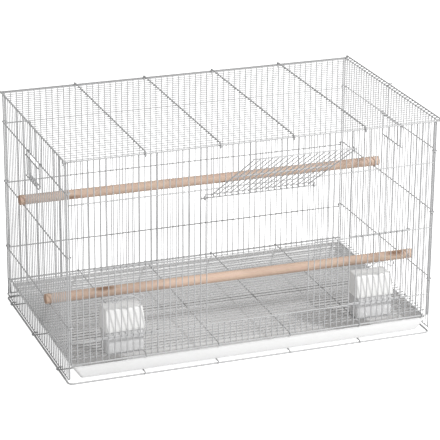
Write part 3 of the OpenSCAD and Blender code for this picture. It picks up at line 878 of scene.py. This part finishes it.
perch_r, perch_end, perch_chamfer, perch_sides = 0.010, 0.392, 0.0008, 48
cut_half, cut_from, cut_long, cut_tall = 0.0013, 0.3794, 0.02, 0.03


def dowel_wood():
    material = bpy.data.materials.new("Softwood dowel")
    material.use_nodes = True
    tree = material.node_tree
    shader = tree.nodes["Principled BSDF"]
    place = plant(tree, "ShaderNodeTexCoord")
    grain_way = plant(tree, "ShaderNodeMapping", {"Scale": (3.0, 60.0, 60.0)})
    growth = plant(tree, "ShaderNodeTexNoise", {"Scale": 1.6, "Detail": 3.0, "Roughness": 0.5})
    bands = plant(tree, "ShaderNodeMath", {1: 24.0}, operation="MULTIPLY")
    rings = plant(tree, "ShaderNodeMath", operation="FRACT")
    fibre_way = plant(tree, "ShaderNodeMapping", {"Scale": (18.0, 900.0, 900.0)})
    fibre = plant(tree, "ShaderNodeTexNoise", {"Scale": 1.0, "Detail": 5.0, "Roughness": 0.6})
    ramp = plant(tree, "ShaderNodeValToRGB")
    patch = plant(tree, "ShaderNodeTexNoise", {"Scale": 8.0, "Detail": 2.0})
    pink = plant(tree, "ShaderNodeMix", {"Factor": 0.4}, data_type="RGBA")
    knot_way = plant(tree, "ShaderNodeMapping", {"Scale": (9.0, 34.0, 34.0)})
    knot = plant(tree, "ShaderNodeTexVoronoi", {"Scale": 1.0, "Randomness": 1.0})
    knot_mask = plant(tree, "ShaderNodeMapRange",
                      {"From Min": 0.1, "From Max": 0.26, "To Min": 1.0, "To Max": 0.0})
    knotted = plant(tree, "ShaderNodeMix", data_type="RGBA")
    along = plant(tree, "ShaderNodeSeparateXYZ")
    from_middle = plant(tree, "ShaderNodeMath", operation="ABSOLUTE")
    end_mask = plant(tree, "ShaderNodeMapRange",
                     {"From Min": 0.3902, "From Max": 0.3914, "To Min": 0.0, "To Max": 0.75})
    end_grain = plant(tree, "ShaderNodeMix", data_type="RGBA")
    fibres = plant(tree, "ShaderNodeMix", {"Factor": 0.25}, data_type="RGBA",
                   blend_type="MULTIPLY")
    rough = plant(tree, "ShaderNodeMapRange", {"To Min": 0.55, "To Max": 0.8})
    relief = plant(tree, "ShaderNodeBump", {"Strength": 0.35, "Distance": 0.0003})
    ramp.color_ramp.elements[0].position = 0.0
    ramp.color_ramp.elements[0].color = (0.80, 0.62, 0.48, 1)
    ramp.color_ramp.elements[1].position = 1.0
    ramp.color_ramp.elements[1].color = (0.62, 0.43, 0.31, 1)
    middle = ramp.color_ramp.elements.new(0.7)
    middle.color = (0.77, 0.59, 0.46, 1)
    pink.inputs["B"].default_value = (0.75, 0.53, 0.42, 1)
    knotted.inputs["B"].default_value = (0.34, 0.20, 0.13, 1)
    end_grain.inputs["B"].default_value = (0.40, 0.24, 0.16, 1)
    join(tree,
         (place, "Object", grain_way, "Vector"), (grain_way, 0, growth, "Vector"),
         (growth, "Fac", bands, 0), (bands, 0, rings, 0), (rings, 0, ramp, "Fac"),
         (place, "Object", fibre_way, "Vector"), (fibre_way, 0, fibre, "Vector"),
         (place, "Object", patch, "Vector"), (patch, "Fac", pink, "Factor"),
         (ramp, "Color", pink, "A"), (place, "Object", knot_way, "Vector"),
         (knot_way, 0, knot, "Vector"), (knot, "Distance", knot_mask, "Value"),
         (knot_mask, 0, knotted, "Factor"), (pink, "Result", knotted, "A"),
         (place, "Object", along, 0), (along, "X", from_middle, 0),
         (from_middle, 0, end_mask, "Value"), (end_mask, 0, end_grain, "Factor"),
         (knotted, "Result", end_grain, "A"), (end_grain, "Result", fibres, "A"),
         (fibre, "Color", fibres, "B"), (fibres, "Result", shader, "Base Color"),
         (fibre, "Fac", rough, "Value"), (rough, 0, shader, "Roughness"),
         (fibre, "Fac", relief, "Height"), (relief, "Normal", shader, "Normal"))
    return material


wood = dowel_wood()


def perch(name, node, left_j, z):
    rod = bmesh.new()
    middle = Vector((0, bar_y(left_j - 0.5), z))
    askew = Matrix.Rotation(-math.atan2(row_gap, 2 * side_x), 3, "Z")
    turns = [2 * math.pi * (s + 0.5) / perch_sides for s in range(perch_sides)]
    tip, shoulder, tip_r = perch_end, perch_end - perch_chamfer, perch_r - perch_chamfer
    loops = [[askew @ Vector((x, size * math.cos(a), size * math.sin(a))) + middle for a in turns]
             for x, size in ((-tip, tip_r), (-shoulder, perch_r), (-0.2, perch_r), (0.0, perch_r),
                             (0.2, perch_r), (shoulder, perch_r), (tip, tip_r))]
    formed(rod, loops)
    bmesh.ops.recalc_face_normals(rod, faces=rod.faces)
    dowel = object_of("dowel", rod)
    saw = bmesh.new()
    for hand, j in ((-1, left_j), (1, left_j - 1)):
        bmesh.ops.create_cube(saw, size=1.0, matrix=Matrix.LocRotScale(
            Vector((hand * (cut_from + cut_long / 2), bar_y(j), z)), None,
            Vector((cut_long, 2 * cut_half, cut_tall))))
    cutter = object_of("saw", saw)
    cut = dowel.modifiers.new("Cut", "BOOLEAN")
    cut.operation = "DIFFERENCE"
    cut.solver = "EXACT"
    cut.object = cutter
    finished = shaped(dowel)
    bpy.data.objects.remove(cutter)
    piece(name, finished, wood, node, node, crease=35)


perch("Upper_perch", "upper_perch", 24, 0.2756116)
perch("Lower_perch", "lower_perch", 10, 0.1311364)


# ---------------------------------------------------------------- Where it stands
# A plain white floor under soft white studio light: one lamp in front, above and to the
# right, and a bright surround.

ground = bmesh.new()
bmesh.ops.create_grid(ground, x_segments=1, y_segments=1, size=12.0)
floor = object_of("Floor", ground)
paper = bpy.data.materials.new("White floor")
paper.use_nodes = True
paper_shader = paper.node_tree.nodes["Principled BSDF"]
paper_place = plant(paper.node_tree, "ShaderNodeTexCoord")
paper_noise = plant(paper.node_tree, "ShaderNodeTexNoise", {"Scale": 3.0, "Detail": 4.0})
paper_tone = plant(paper.node_tree, "ShaderNodeMix", data_type="RGBA")
paper_path = plant(paper.node_tree, "ShaderNodeLightPath")
paper_glow = plant(paper.node_tree, "ShaderNodeMath", {1: 0.9}, operation="MULTIPLY")
paper_tone.inputs["A"].default_value = (0.90, 0.90, 0.90, 1)
paper_tone.inputs["B"].default_value = (0.93, 0.93, 0.93, 1)
paper_shader.inputs["Roughness"].default_value = 0.9
paper_shader.inputs["Emission Color"].default_value = (1, 1, 1, 1)
join(paper.node_tree,
     (paper_place, "Object", paper_noise, "Vector"), (paper_noise, "Fac", paper_tone, "Factor"),
     (paper_tone, "Result", paper_shader, "Base Color"),
     (paper_path, "Is Camera Ray", paper_glow, 0),
     (paper_glow, 0, paper_shader, "Emission Strength"))
floor.data.materials.append(paper)

world = bpy.data.worlds.new("Studio")
bpy.context.scene.world = world
world.use_nodes = True
surround = world.node_tree.nodes["Background"]
path_of_light = plant(world.node_tree, "ShaderNodeLightPath")
level = plant(world.node_tree, "ShaderNodeMapRange", {"To Min": 0.52, "To Max": 1.0})
join(world.node_tree,
     (path_of_light, "Is Camera Ray", level, "Value"), (level, 0, surround, "Strength"))
surround.inputs["Color"].default_value = (1, 1, 1, 1)

lamp_place, lamp_aim = Vector((2.3, -3.0, 3.3)), Vector((0, 0.1, 0.2))
lamp_data = bpy.data.lights.new("Key", "AREA")
lamp_data.energy = 175.0
lamp_data.shape = "DISK"
lamp_data.size = 0.5
lamp = bpy.data.objects.new("Key", lamp_data)
bpy.context.scene.collection.objects.link(lamp)
lamp.location = lamp_place
lamp.rotation_euler = (lamp_place - lamp_aim).to_track_quat("Z", "Y").to_euler()

camera_aim, camera_far = Vector((0.01095, 0.11223, 0.21007)), 4.39067
turn, lift, roll = math.radians(-20.378), math.radians(20.771), math.radians(0.450)
camera_data = bpy.data.cameras.new("Camera")
camera_data.sensor_width = 36.0
camera_data.lens = 175.1
camera_data.clip_end = 100.0
camera = bpy.data.objects.new("Camera", camera_data)
bpy.context.scene.collection.objects.link(camera)
back = Vector((math.sin(turn) * math.cos(lift), -math.cos(turn) * math.cos(lift), math.sin(lift)))
level_right = Vector((math.cos(turn), math.sin(turn), 0))
level_up = back.cross(level_right)
right = level_right * math.cos(roll) + level_up * math.sin(roll)
up = level_up * math.cos(roll) - level_right * math.sin(roll)
pose = Matrix((right, up, back)).transposed().to_4x4()
pose.translation = camera_aim + back * camera_far
camera.matrix_world = pose
bpy.context.scene.camera = camera
bpy.context.scene.view_settings.view_transform = "Standard"
